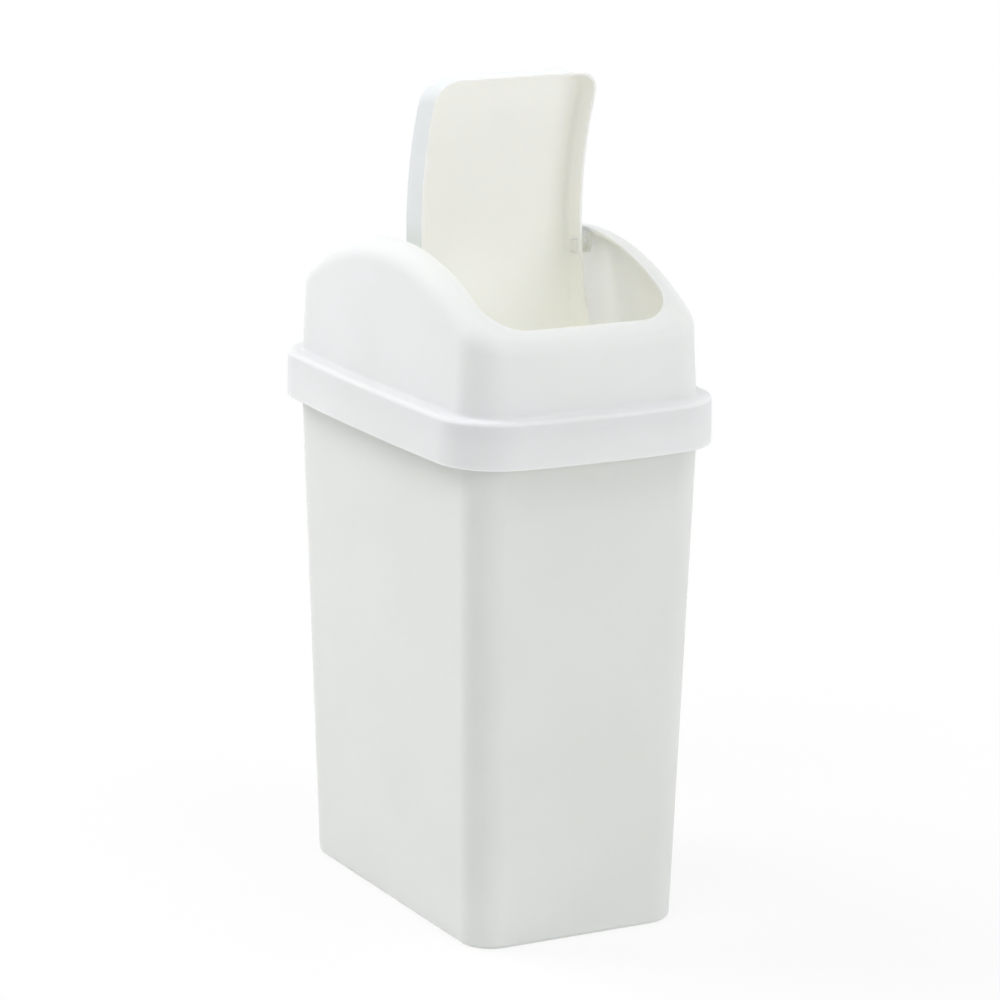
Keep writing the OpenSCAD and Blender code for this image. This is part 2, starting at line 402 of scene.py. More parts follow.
def slab(name: str, sections: Sequence[tuple[float, np.ndarray]], side: int) -> Object:
    """Makes a solid that runs along X.

    Args:
        name: Name of the object.
        sections: Place along X and outline, in Y and Z, of each section from the middle outwards.
        side: 1 at the right, -1 at the left.

    Returns:
        The object.
    """
    rings = [np.column_stack([np.full(len(ring), side * x), ring])[::side] for x, ring in sections]
    return loft(name, rings, start=Cap.FLAT, end=Cap.FLAT)


def revolve_x(name: str, profile: Points, pivot_z: float, side: int, steps: int = 48) -> Object:
    """Revolves a profile about the flap's axis, which runs along X, and closes its two ends flat.

    Args:
        name: Name of the object.
        profile: Distance from the axis and place along it of each corner, from the middle outwards.
        pivot_z: Height of the axis.
        side: 1 at the right, -1 at the left.
        steps: Steps round the axis.

    Returns:
        The object.
    """
    angles = np.linspace(0, 2 * math.pi, steps, endpoint=False)
    rings = []
    for r, x in profile:
        ring = np.column_stack([np.full(steps, side * x), r * np.cos(angles), pivot_z + r * np.sin(angles)])
        rings.append(ring[:: -side])
    ends = [[side * profile[i][1], 0, pivot_z] for i in (0, -1)]
    faces = loft_faces(steps, len(rings), closed=False)
    tip = len(rings) * steps
    last = tip - steps
    for i in range(steps):
        k = (i + 1) % steps
        faces += [(tip, k, i), (tip + 1, last + i, last + k)]
    return make_mesh(name, np.concatenate([*rings, ends]), faces)


def dress(
    piece: Object, finish: Material, core: Optional[Vector] = None, sharp_over: float = 40.0
) -> Object:
    """Gives a piece its material and smooth shading, and stores which faces the tool's core moulded.

    Args:
        piece: The piece, with faces that point out of its wall.
        finish: Its material.
        core: A point in the hollow that the core filled, in metres, or None for a piece that lies in
            the hollow as a whole.
        sharp_over: Edges that turn by more than this many degrees stay sharp.

    Returns:
        The same piece.
    """
    piece.data.materials.clear()
    piece.data.materials.append(finish)
    piece.data.shade_smooth()
    piece.data.set_sharp_from_angle(angle=math.radians(sharp_over))
    weighted = piece.modifiers.new("Weighted normals", "WEIGHTED_NORMAL")
    weighted.mode = "FACE_AREA"
    weighted.keep_sharp = True
    settle(piece)
    sides = [float(core is None or f.normal.dot(core - f.center) > 0) for f in piece.data.polygons]
    piece.data.attributes.new(CORE_SIDE, "FLOAT", "FACE").data.foreach_set("value", sides)
    return piece


# Node trees


def add_node(
    tree: NodeTree,
    kind: str,
    inputs: Optional[dict[str | int, object]] = None,
    output: str | int = 0,
    **settings: object,
) -> Optional[NodeSocket]:
    """Adds a node with its settings, values and links.

    Args:
        tree: The tree to add it to.
        kind: The node's type name.
        inputs: A value, or an output socket to link from, for each input by name or number.
        output: The output to give back, by name or number.
        **settings: Properties of the node.

    Returns:
        That output's socket, or None for a node without outputs.
    """
    node = tree.nodes.new(kind)
    for name, value in settings.items():
        setattr(node, name, value)
    for key, value in (inputs or {}).items():
        socket = node.inputs[key]
        if isinstance(value, NodeSocket):
            tree.links.new(value, socket)
        else:
            socket.default_value = value
    return node.outputs[output] if len(node.outputs) else None


def empty_tree(owner: Material | World) -> Callable[..., NodeSocket]:
    """Empties a material's or a world's node tree.

    Args:
        owner: The material or the world.

    Returns:
        add_node for its tree.
    """
    owner.use_nodes = True
    owner.node_tree.nodes.clear()
    return partial(add_node, owner.node_tree)


def linear(colour: str) -> tuple[float, float, float, float]:
    """Turns an sRGB hex colour to linear values with an alpha of 1."""
    values = [int(colour[i : i + 2], 16) / 255 for i in (1, 3, 5)]
    turned = [v / 12.92 if v <= 0.04045 else ((v + 0.055) / 1.055) ** 2.4 for v in values]
    return (*turned, 1.0)


def per_metre(size_mm: float) -> float:
    """Texture scale at which a pattern on Object coordinates repeats about every size_mm."""
    return 1 / (size_mm * MM)


@dataclass(frozen=True)
class MouldedPolypropylene:
    """Injection-moulded polypropylene, filled white.

    The cavity of the tool is blasted, so the outside is an even satin with a fine grain. The core is
    only polished, so the inside is a little smoother, and shows the flow of the plastic as faint long
    waves. The plastic is translucent: light passes through its thin walls, so the hollow glows, a
    little warmer than the outside. Subsurface scattering gives part of that glow, and the rest is
    painted, as a lighter and warmer colour of the inside.

    Attributes:
        name: Name of the material.
        colour: Main colour of the outside, sRGB.
        flow_colour: Colour where the plastic is a little thicker or cooled slower, sRGB.
        core_glow_colour: Colour of the inside, sRGB, lighter and warmer than the outside: painted
        glow of the light that passes through the walls.
        cavity_roughness: Roughness of the outside.
        core_roughness: Roughness of the inside.
        grain_mm: Size of the blasted grain. The real one is about 0.1 mm, drawn coarser to show.
        grain_depth_mm: Depth of the grain.
        flow_mm: Length of the flow waves.
        flow_depth_mm: Depth of the flow waves, which cooling leaves in the wall.
        scatter_mm: How far red, green and blue light travel in the plastic before they turn.
    """

    name: str
    colour: str
    flow_colour: str
    core_glow_colour: str
    cavity_roughness: float = 0.62
    core_roughness: float = 0.5
    grain_mm: float = 0.6
    grain_depth_mm: float = 0.01
    flow_mm: float = 60.0
    flow_depth_mm: float = 0.02
    scatter_mm: tuple[float, float, float] = (2.8, 2.72, 2.52)

    IOR = 1.49
    FLOW_NOISE = {"Detail": 3.0, "Roughness": 0.45}
    GRAIN_NOISE = {"Detail": 2.0, "Roughness": 0.6}
    # Values of the flow noise between which the outside goes from its main colour to the other
    TINT_RANGE = (0.3, 0.7)
    # How far the roughness of the outside and of the inside varies, either way
    CAVITY_SPREAD = 0.05
    CORE_SPREAD = 0.03
    # Share of the grain that is left on the polished side
    CORE_GRAIN_SHARE = 0.25

    def build(self) -> Material:
        """Builds the material's nodes.

        Returns:
            The material.
        """
        made = bpy.data.materials.new(self.name)
        add = empty_tree(made)
        place = add("ShaderNodeTexCoord", output="Object")
        core = add("ShaderNodeAttribute", output="Fac", attribute_name=CORE_SIDE)
        flow, grain = (
            add("ShaderNodeTexNoise", {"Vector": place, "Scale": per_metre(size), **noise}, "Fac")
            for size, noise in ((self.flow_mm, self.FLOW_NOISE), (self.grain_mm, self.GRAIN_NOISE))
        )
        low, high = self.TINT_RANGE
        tint = add(
            "ShaderNodeMapRange",
            {"Value": flow, "From Min": low, "From Max": high},
            interpolation_type="SMOOTHSTEP",
        )
        # The inside takes the core colour: painted glow of the light that passes through the walls
        outside, inside = {6: linear(self.colour), 7: linear(self.flow_colour)}, linear(self.core_glow_colour)
        tinted = add("ShaderNodeMix", {0: tint, **outside}, 2, data_type="RGBA")
        colour = add("ShaderNodeMix", {0: core, 6: tinted, 7: inside}, 2, data_type="RGBA")
        cavity_roughness, core_roughness = (
            add("ShaderNodeMapRange", {"Value": noise, "To Min": middle - spread, "To Max": middle + spread})
            for noise, middle, spread in (
                (grain, self.cavity_roughness, self.CAVITY_SPREAD),
                (flow, self.core_roughness, self.CORE_SPREAD),
            )
        )
        roughness = add("ShaderNodeMix", {0: core, 2: cavity_roughness, 3: core_roughness})
        strength = add(
            "ShaderNodeMapRange", {"Value": core, "To Min": 1.0, "To Max": self.CORE_GRAIN_SHARE}
        )
        depth, wave_depth = self.grain_depth_mm * MM, self.flow_depth_mm * MM
        fine = add("ShaderNodeBump", {"Height": grain, "Distance": depth, "Strength": strength})
        waves = add(
            "ShaderNodeBump", {"Height": flow, "Distance": wave_depth, "Strength": 1.0, "Normal": fine}
        )
        longest = max(self.scatter_mm)
        shader = add(
            "ShaderNodeBsdfPrincipled",
            {
                "Base Color": colour,
                "Roughness": roughness,
                "IOR": self.IOR,
                "Normal": waves,
                "Subsurface Weight": 1.0,
                "Subsurface Radius": tuple(r / longest for r in self.scatter_mm),
                "Subsurface Scale": longest * MM,
            },
        )
        add("ShaderNodeOutputMaterial", {"Surface": shader})
        return made


# Each finish's core colour is lighter and warmer than its outside: painted glow of the light that passes
# through the walls
BUCKET_FINISH = MouldedPolypropylene(
    name="moulded polypropylene, soft white",
    colour="#e4e6e4",
    flow_colour="#e2e4e1",
    core_glow_colour="#fbfbf6",
    scatter_mm=(1.5, 1.46, 1.35),
)
LID_FINISH = MouldedPolypropylene(
    name="moulded polypropylene, clear white",
    colour="#e5e7e8",
    flow_colour="#e3e5e5",
    core_glow_colour="#fefef8",
)
# The flap is the lid's plastic, drawn a little darker outside: painted shade for its side walls, which stand
# in shade when it is open
FLAP_FINISH = MouldedPolypropylene(
    name="moulded polypropylene, white with painted shade",
    colour="#dee2e4",
    flow_colour="#dce0e1",
    core_glow_colour="#fcfcf3",
)


# The bucket


class PieceTree:
    """Geometry Nodes that shape a piece from named sizes and from numbers stored on its points.

    Each kind of tree names itself, the numbers that it reads and the sizes that it takes, and says
    how they become a shape. It ends with real geometry in the finish that it is given.
    """

    NAME = ""
    NUMBERS: tuple[str, ...] = ()
    SIZES: tuple[str, ...] = ()

    def __init__(self) -> None:
        """Builds the tree."""
        self.tree = bpy.data.node_groups.new(self.NAME, "GeometryNodeTree")
        face = self.tree.interface
        kinds = {"Geometry": "Geometry", **dict.fromkeys(self.SIZES, "Float"), "Material": "Material"}
        for name, kind in kinds.items():
            face.new_socket(name, in_out="INPUT", socket_type=f"NodeSocket{kind}")
        face.new_socket("Geometry", in_out="OUTPUT", socket_type="NodeSocketGeometry")
        add = self.add = partial(add_node, self.tree)
        self.given = add("NodeGroupInput").node.outputs
        self.on_point = {
            name: add("GeometryNodeInputNamedAttribute", {"Name": name}, "Attribute", data_type="FLOAT")
            for name in self.NUMBERS
        }
        real = add("GeometryNodeRealizeInstances", {"Geometry": self.shape()})
        dressed = add("GeometryNodeSetMaterial", {"Geometry": real, "Material": self.given["Material"]})
        add("NodeGroupOutput", {"Geometry": dressed})

    def shape(self) -> NodeSocket:
        """The shaped geometry, which each kind of tree wires in its own way."""
        raise NotImplementedError

    def run(
        self, piece: Object, numbers: Sequence[Sequence[float]], sizes: Sequence[float], finish: Material
    ) -> None:
        """Runs the tree on a piece and keeps the result as plain mesh.

        Args:
            piece: The piece to change.
            numbers: A value on each point for each of the tree's numbers.
            sizes: A value for each of its sizes.
            finish: The piece's material.
        """
        for name, column in zip(self.NUMBERS, numbers):
            layer = piece.data.attributes.new(name, "FLOAT", "POINT")
            layer.data.foreach_set("value", np.asarray(column, np.float32))
        modifier = piece.modifiers.new(self.NAME, "NODES")
        modifier.node_group = self.tree
        sockets = {s.name: s.identifier for s in self.tree.interface.items_tree if s.in_out == "INPUT"}
        for name, value in zip((*self.SIZES, "Material"), (*sizes, finish)):
            modifier[sockets[name]] = value
        settle(piece)
        for name in self.NUMBERS:
            if name in piece.data.attributes:
                piece.data.attributes.remove(piece.data.attributes[name])


class ShellTree(PieceTree):
    """Places the bucket's shell by its rule.

    Each point carries its station, its inset and its height, and says whether it lies on the body's
    form or on the rim's. The tree turns these into a place.
    """

    NAME = "Rounded shell"
    NUMBERS = ("side_x", "side_y", "facing", "bow_share", "inset", "height", "on_rim")
    FORM = ("Half Width", "Half Depth", "Corner", "Bow", "Flare Across", "Flare Along")
    SIZES = (*(f"Body {size}" for size in FORM), *(f"Rim {size}" for size in FORM))

    def shape(self) -> NodeSocket:
        """Wires the rule: a place is a corner's centre, plus the reach along the way the wall faces.

        Returns:
            The geometry, with its points in their places.
        """
        add, given, on = self.add, self.given, self.on_point
        width, depth, corner, bow, flare_x, flare_y = (
            add("ShaderNodeMix", {0: on["on_rim"], 2: given[f"Body {size}"], 3: given[f"Rim {size}"]})
            for size in self.FORM
        )
        bowed = add("ShaderNodeMath", {0: on["bow_share"], 1: bow}, operation="MULTIPLY")
        drawn_in = add("ShaderNodeMath", {0: corner, 1: on["inset"]}, operation="SUBTRACT")
        reach = add("ShaderNodeMath", {0: drawn_in, 1: bowed}, operation="ADD")
        place = {"Z": on["height"]}
        for axis, side, turn, flare, half in (
            ("X", on["side_x"], "COSINE", flare_x, width),
            ("Y", on["side_y"], "SINE", flare_y, depth),
        ):
            grown = add("ShaderNodeMath", {0: flare, 1: on["height"], 2: half}, operation="MULTIPLY_ADD")
            straight = add("ShaderNodeMath", {0: grown, 1: corner}, operation="SUBTRACT")
            centre = add("ShaderNodeMath", {0: side, 1: straight}, operation="MULTIPLY")
            way = add("ShaderNodeMath", {0: on["facing"]}, operation=turn)
            place[axis] = add("ShaderNodeMath", {0: reach, 1: way, 2: centre}, operation="MULTIPLY_ADD")
        spot = add("ShaderNodeCombineXYZ", place)
        metres = add("ShaderNodeVectorMath", {0: spot, "Scale": MM}, operation="SCALE")
        return add("GeometryNodeSetPosition", {"Geometry": given["Geometry"], "Position": metres})


class GussetTree(PieceTree):
    """Shapes a gusset from its sizes and sets one on each point under the rim.

    Each point carries the way that its gusset faces and how much longer it is than the shortest one.
    """

    NAME = "Gussets under the rim"
    NUMBERS = ("turn", "stretch")
    SIZES = ("Reach", "Thickness", "Height", "Outer Height")

    def gusset(self) -> NodeSocket:
        """Wires one gusset: a block below and outside its point, slanted up towards its outer end.

        Returns:
            The block.
        """
        add = self.add
        reach, thickness, height, outer = (self.given[size] for size in self.SIZES)
        size = add("ShaderNodeCombineXYZ", {"X": reach, "Y": thickness, "Z": height})
        block = add("GeometryNodeMeshCube", {"Size": size})
        place = add("GeometryNodeInputPosition")
        share = add("ShaderNodeVectorMath", {0: place, 1: size}, operation="DIVIDE")
        parts = add("ShaderNodeSeparateXYZ", {0: share}).node.outputs
        out = add("ShaderNodeMath", {0: parts["X"], 1: 0.5}, operation="ADD")
        low = add("ShaderNodeMath", {0: 0.5, 1: parts["Z"]}, operation="SUBTRACT")
        slant = add("ShaderNodeMath", {0: height, 1: outer}, operation="SUBTRACT")
        corner = add("ShaderNodeMath", {0: out, 1: low}, operation="MULTIPLY")
        rise = add("ShaderNodeMath", {0: corner, 1: slant}, operation="MULTIPLY")
        middle = add("ShaderNodeVectorMath", {0: size, 1: (0.5, 0.0, -0.5)}, operation="MULTIPLY")
        lifted = add("ShaderNodeCombineXYZ", {"Z": rise})
        moved = add("ShaderNodeVectorMath", {0: middle, 1: lifted}, operation="ADD")
        return add("GeometryNodeSetPosition", {"Geometry": block, "Offset": moved})

    def shape(self) -> NodeSocket:
        """Wires the gussets onto their points.

        Returns:
            The gussets, as instances.
        """
        spots = {
            "Points": self.given["Geometry"],
            "Instance": self.gusset(),
            "Rotation": self.add("ShaderNodeCombineXYZ", {"Z": self.on_point["turn"]}),
            "Scale": self.add("ShaderNodeCombineXYZ", {"X": self.on_point["stretch"], "Y": 1.0, "Z": 1.0}),
        }
        return self.add("GeometryNodeInstanceOnPoints", spots)


@dataclass
class Bucket:
    """The tapered bucket, with its rim, its down-turned lip and the ring that it stands on.

    Its sizes are the frame's own, named as in the part's source.
    """

    foot_w: float = 118.0
    foot_d: float = 192.5
    mouth_w: float = 131.5
    mouth_d: float = 209.3
    height: float = 270.6
    corner_r: float = 17.5
    foot_edge_r: float = 3.0
    floor_edge_r: float = 5.0
    wall: float = 2.0
    floor_t: float = 2.4
    foot_ring_w: float = 8.0
    foot_ring_edge_r: float = 0.4
    foot_recess: float = 1.2
    rim_reach: float = 6.5
    rim_corner_r: float = 31.0
    rim_t: float = 2.0
    rim_lip_h: float = 8.0
    rim_lip_end_r: float = 0.8
    rim_edge_r: float = 0.8
    rim_bow: float = 1.6
    gusset_t: float = 1.6
    gusset_drop: float = 4.0
    gusset_edge_r: float = 0.25
    gusset_edge_steps: int = 2
    long_gussets: int = 4
    short_gussets: int = 2
    arc_steps: int = 6
    stations: Stations = field(default_factory=lambda: Stations.spaced(20, 16, 12))

    @property
    def body(self) -> Form:
        """The form of the tapered body."""
        flare_x = (self.mouth_w - self.foot_w) / 2 / self.height
        flare_y = (self.mouth_d - self.foot_d) / 2 / self.height
        return Form(self.foot_w / 2, self.foot_d / 2, self.corner_r, 0.0, flare_x, flare_y)

    @property
    def rim(self) -> Form:
        """The form of the rim's outer edge."""
        half_width = self.mouth_w / 2 + self.rim_reach
        half_depth = self.mouth_d / 2 + self.rim_reach
        return Form(half_width, half_depth, self.rim_corner_r, self.rim_bow)

    def section(self) -> list[tuple[float, float, bool]]:
        """The wall's section, from under the floor, up the outside, over the rim and down inside.

        Returns:
            Inset, height and whether the point lies on the rim's form, for each ring.
        """
        under, lip = self.height - self.rim_t, self.height - self.rim_lip_h
        ring_edge, foot = self.foot_ring_edge_r, self.foot_edge_r
        edge, end = self.rim_edge_r, self.rim_lip_end_r
        inner, n = self.wall + self.floor_edge_r, self.arc_steps
        floor_z = self.foot_recess + self.floor_t
        parts = (
            (False, [(self.foot_ring_w, self.foot_recess)]),
            (False, arc((self.foot_ring_w - ring_edge, ring_edge), ring_edge, 180, 270, n)),
            (False, [*arc((foot, foot), foot, -90, 0, n), (0.0, under)]),
            (True, [(self.rim_t, under), (self.rim_t, lip)]),
            (True, arc((self.rim_t / 2, lip + end), end, -180, 0, n, self.rim_t / 2)),
            (True, arc((edge, self.height - edge), edge, 0, 90, n)),
            (False, arc((self.wall - edge, self.height - edge), edge, 90, 180, n)),
            (False, arc((inner, floor_z + self.floor_edge_r), self.floor_edge_r, 0, -90, n)),
        )
        return [(*point, on_rim) for on_rim, points in parts for point in points]

    def build_shell(self, finish: Material) -> Object:
        """Builds the shell through its tree.

        Args:
            finish: The material of the shell.

        Returns:
            The shell.
        """
        rows, at = self.section(), self.stations
        grid = [np.array([(i, j, 0.0) for i in range(at.count)]) for j in range(len(rows))]
        shell = loft("bucket_shell", grid, start=Cap.FLAT, end=Cap.FLAT)
        numbers = [np.tile(c, len(rows)) for c in (at.side_x, at.side_y, at.facing, at.bow_share)]
        numbers += [np.repeat(c, at.count) for c in np.array(rows, float).T]
        ShellTree().run(shell, numbers, (*astuple(self.body), *astuple(self.rim)), finish)
        return shell

    def build_gussets(self, finish: Material) -> Object:
        """Builds the gussets that stiffen the rim's lip, hidden while the lid is on.

        Args:
            finish: The material of the gussets.

        Returns:
            All the gussets, as one mesh.
        """
        top, lip = self.height - self.rim_t / 2, self.height - self.rim_lip_h
        sides = (
            (self.long_gussets, self.rim.half_depth, self.mouth_w / 2),
            (self.short_gussets, self.rim.half_width, self.mouth_d / 2),
        )
        reach = self.rim_reach - self.rim_t / 2 + self.wall / 2
        points, turns, stretches = [], [], []
        for quarter in range(4):
            count, half, wall = sides[quarter % 2]
            a = math.radians(90 * quarter)
            for i in range(count):
                u = (2 * i + 1) / count - 1
                out, along = wall - self.wall / 2, u * (half - self.rim_corner_r)
                points.append(
                    (out * math.cos(a) - along * math.sin(a), out * math.sin(a) + along * math.cos(a), top)
                )
                turns.append(a)
                stretches.append(1 + self.rim_bow * (1 - u * u) / reach)
        gussets = make_mesh("rim_gussets", np.array(points), [])
        sizes = (reach, self.gusset_t, top - lip + self.gusset_drop, top - lip - self.rim_t)
        GussetTree().run(gussets, (turns, stretches), [size * MM for size in sizes], finish)
        bevel = gussets.modifiers.new("Rounded edges", "BEVEL")
        bevel.width = self.gusset_edge_r * MM
        bevel.segments = self.gusset_edge_steps
        settle(gussets)
        return gussets

    def build(self, finish: Material) -> list[Object]:
        """Builds and dresses the bucket's pieces.

        Args:
            finish: The material of all of them.

        Returns:
            The pieces.
        """
        shell = dress(self.build_shell(finish), finish, Vector((0, 0, self.height / 2 * MM)))
        return [shell, dress(self.build_gussets(finish), finish)]


# The lid


@dataclass
class Lid:
    """The lid hood: skirt, ledge, leaning walls, arch with rolled cheeks, opening and ears."""

    bucket: Bucket
    skirt_gap: float = 0.75
    wall: float = 2.0
    skirt_h: float = 23.7
    skirt_lean: float = 0.3
    skirt_edge_r: float = 0.6
    ledge_edge_r: float = 2.3
    ledge_side: float = 8.6
    ledge_end: float = 10.0
    hood_foot_r: float = 1.5
    hood_corner_r: float = 21.7
    hood_bow: float = 1.5
    hood_rise: float = 70.5
    arch_r: float = 165.0
    hood_draft: float = 2.8
    cheek_r: float = 10.8
    lip_side: float = 1.8
    lip_end: float = 3.4
    opening_corner_r: float = 19.5
    opening_edge_r: float = 0.5
    pivot_drop: float = 9.6
    bearing_r: float = 3.3
    bearing_bore_r: float = 2.33
    bearing_edge_r: float = 0.3
    ear_t: float = 2.2
    ear_border: float = 0.8
    ear_arc_steps: int = 32
    ear_sharp_over: float = 30.0
    arc_steps: int = 6
    cheek_steps: int = 18
    stations: Stations = field(default_factory=lambda: Stations.spaced(20, 48, 20))

    def __post_init__(self) -> None:
        """Works out the heights and forms that follow from the sizes."""
        self.ledge_z = self.bucket.height + self.wall
        self.skirt_z = self.ledge_z - self.skirt_h
        self.arch_top = self.ledge_z + self.hood_rise
        self.arch = Arch(self.arch_r, self.arch_top - self.arch_r)
        self.pivot_z = self.arch_top - self.pivot_drop
        self.skirt = self.bucket.rim.grown(self.skirt_gap + self.wall)
        half_width = self.skirt.half_width - self.ledge_side
        half_depth = self.skirt.half_depth - self.ledge_end
        self.hood = Form(half_width, half_depth, self.hood_corner_r, self.hood_bow)
        self.edge = ArchEdge(self.arch, self.cheek_r, math.tan(math.radians(self.hood_draft)), self.ledge_z)
        self.opening = self._opening()

    def _opening(self) -> Form:
        """The opening's form, which keeps inside the radius that runs round the top of the hood."""
        right = Stations(*np.array([[1.0], [0.0], [0.0], [1.0]]))
        back = Stations(*np.array([[0.0], [1.0], [math.pi / 2], [1.0]]))
        flat_bow = replace(self.hood, bow=0.0)
        half_width = self.edge.centres(right, flat_bow)[0][0] - self.lip_side
        half_depth = self.edge.rings(back, flat_bow, self.cheek_r, 1)[1][0][1] - self.lip_end
        return Form(half_width, half_depth, self.opening_corner_r)

    def build_shell(self) -> Object:
        """Builds the hood's shell.

        Returns:
            The shell.
        """
        at, n = self.stations, self.arc_steps
        e, r, f, o = self.skirt_edge_r, self.ledge_edge_r, self.hood_foot_r, self.opening_edge_r
        # Over the opening's upper corner, down its face and round its lower corner
        low = self.arch_r - self.wall
        opening = (*arc((-o, self.arch_r - o), o, 90, 180, n), *arc((-o, low + o), o, 180, 270, n))
        rings = [self.skirt.ring(at, self.wall, self.skirt_z)]
        rings += self.skirt.rings(at, arc((e, self.skirt_z + e), e, -90, 0, n))
        rings += self.skirt.rings(at, arc((self.skirt_lean + r, self.ledge_z - r), r, 0, 90, 2 * n))
        rings += self.hood.rings(at, arc((-f, self.ledge_z + f), f, -90, -180, n))
        rings += self.edge.rings(at, self.hood, self.cheek_r, self.cheek_steps)
        rings += [self.arch.ring(at, self.opening, inset, radius) for inset, radius in opening]
        rings += self.edge.rings(at, self.hood, self.cheek_r - self.wall, self.cheek_steps)[::-1]
        rings.append(self.hood.ring(at, self.wall, self.bucket.height))
        rings.append(self.skirt.ring(at, self.wall + self.skirt_lean, self.bucket.height))
        return loft("lid_hood_shell", rings, closed=True)

    def build_ear(self, side: int, bearing_x: float) -> Object:
        """Builds one ear: a plate that hangs from the cheek, and the bearing that stands out of it.

        Args:
            side: 1 at the right, -1 at the left.
            bearing_x: Distance of the bearing's face from the middle.

        Returns:
            The ear with its bearing.
        """
        name = f"pivot_ear_{SIDES[side]}"
        r, bore_r, b = self.bearing_r, self.bearing_bore_r, self.bearing_edge_r
        half = r + self.ear_border
        inner, outer = self.opening.half_width, self.opening.half_width + self.ear_t
        top = self.arch_top - self.wall / 2
        foot = arc((0.0, self.pivot_z), half, 0, -180, self.ear_arc_steps)
        outline = np.array([(-half, top), *foot, (half, top)])
        centre = np.array([0.0, self.pivot_z])
        shrunk = centre + (outline - centre) * (1 - b / half)
        sections = ((inner, shrunk), (inner + b, outline), (outer - b, outline), (outer, shrunk))
        plate = slab(name, sections, side)
        boss = [(r - b, bearing_x), (r, bearing_x + b), (r, inner + b)]
        combine(plate, revolve_x(f"{name}_boss", boss, self.pivot_z, side), "UNION")
        near, far = bearing_x - CUT_PAST, outer + CUT_PAST
        bore = [(bore_r + b + CUT_PAST, near), (bore_r, bearing_x + b), (bore_r, far)]
        combine(plate, revolve_x(f"{name}_bore", bore, self.pivot_z, side), "DIFFERENCE")
        return plate

    def build(self, finish: Material, bearing_x: float) -> list[Object]:
        """Builds and dresses the lid's pieces.

        Args:
            finish: The material of all of them.
            bearing_x: Distance of the bearings' faces from the middle.

        Returns:
            The pieces.
        """
        shell = dress(self.build_shell(), finish, Vector((0, 0, (self.skirt_z + self.wall) * MM)))
        ears = [
            dress(self.build_ear(side, bearing_x), finish, sharp_over=self.ear_sharp_over) for side in SIDES
        ]
        return [shell, *ears]


# The flap


